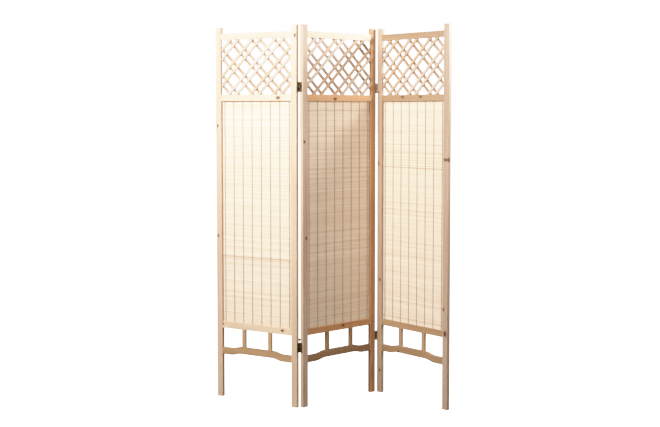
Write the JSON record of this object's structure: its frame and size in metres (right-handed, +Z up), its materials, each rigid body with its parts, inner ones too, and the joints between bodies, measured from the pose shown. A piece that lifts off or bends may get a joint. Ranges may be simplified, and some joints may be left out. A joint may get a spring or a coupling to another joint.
{
  "type": "folding room divider screen",
  "caption": "Folding wooden screen of framed panels on vertical pin hinges, each with a crossed-slat lattice above a woven mat and a raised arched foot rail on spindles.",
  "frame": {"origin": "middle of the footprint's bounding box on the floor, with the screen standing in its folded zigzag", "axes": "+Z up, -Y towards the viewer in front, +X to the viewer's right along the line of the screen"},
  "size_m": [1.0814, 0.3296, 1.75],
  "materials": {
    "post_pine": "planed pine with knots, light honey stain, satin",
    "rail_pine": "planed pine, light honey stain, satin",
    "lattice_pine": "thin sawn pine slats, light stain",
    "mat_slats": "woven split-wood slats, uneven pale tones",
    "mat_thread": "tan cotton thread loops",
    "hinge_bronze": "dark antique bronze, worn edges",
    "pin_bronze": "dark antique bronze",
    "screw_bronze": "dark antique bronze, brighter in the slots"
  },
  "bodies": {
    "middle_panel": {"middle_panel_left_post": "post_pine", "middle_panel_right_post": "post_pine", "middle_panel_top_rail": "rail_pine", "middle_panel_middle_rail": "rail_pine", "middle_panel_lower_rail": "rail_pine", "middle_panel_arched_rail": "rail_pine", "middle_panel_spindles": "rail_pine", "middle_panel_lattice_front": "lattice_pine", "middle_panel_lattice_back": "lattice_pine", "middle_panel_woven_mat": "mat_slats", "middle_panel_mat_threads": "mat_thread", "left_hinge_upper_middle_leaf": "hinge_bronze", "left_hinge_upper_pin": "pin_bronze", "left_hinge_lower_middle_leaf": "hinge_bronze", "left_hinge_lower_pin": "pin_bronze", "right_hinge_upper_middle_leaf": "hinge_bronze", "right_hinge_upper_pin": "pin_bronze", "right_hinge_lower_middle_leaf": "hinge_bronze", "right_hinge_lower_pin": "pin_bronze", "left_hinge_middle_screws": "screw_bronze", "right_hinge_middle_screws": "screw_bronze"},
    "left_panel": {"left_panel_left_post": "post_pine", "left_panel_right_post": "post_pine", "left_panel_top_rail": "rail_pine", "left_panel_middle_rail": "rail_pine", "left_panel_lower_rail": "rail_pine", "left_panel_arched_rail": "rail_pine", "left_panel_spindles": "rail_pine", "left_panel_lattice_front": "lattice_pine", "left_panel_lattice_back": "lattice_pine", "left_panel_woven_mat": "mat_slats", "left_panel_mat_threads": "mat_thread", "left_hinge_upper_outer_leaf": "hinge_bronze", "left_hinge_lower_outer_leaf": "hinge_bronze", "left_hinge_outer_screws": "screw_bronze"},
    "right_panel": {"right_panel_left_post": "post_pine", "right_panel_right_post": "post_pine", "right_panel_top_rail": "rail_pine", "right_panel_middle_rail": "rail_pine", "right_panel_lower_rail": "rail_pine", "right_panel_arched_rail": "rail_pine", "right_panel_spindles": "rail_pine", "right_panel_lattice_front": "lattice_pine", "right_panel_lattice_back": "lattice_pine", "right_panel_woven_mat": "mat_slats", "right_panel_mat_threads": "mat_thread", "right_hinge_upper_outer_leaf": "hinge_bronze", "right_hinge_lower_outer_leaf": "hinge_bronze", "right_hinge_outer_screws": "screw_bronze"}
  },
  "joints": [
    {"name": "left_seam", "type": "hinge", "parent": "middle_panel", "child": "left_panel", "pos_m": [-0.14239, -0.10536, 0.276], "axis": [0, 0, 1], "range_deg": [-113.5, 66.5]},
    {"name": "right_seam", "type": "hinge", "parent": "middle_panel", "child": "right_panel", "pos_m": [0.21942, 0.1482, 0.276], "axis": [0, 0, 1], "range_deg": [-95.5, 84.5]}
  ]
}
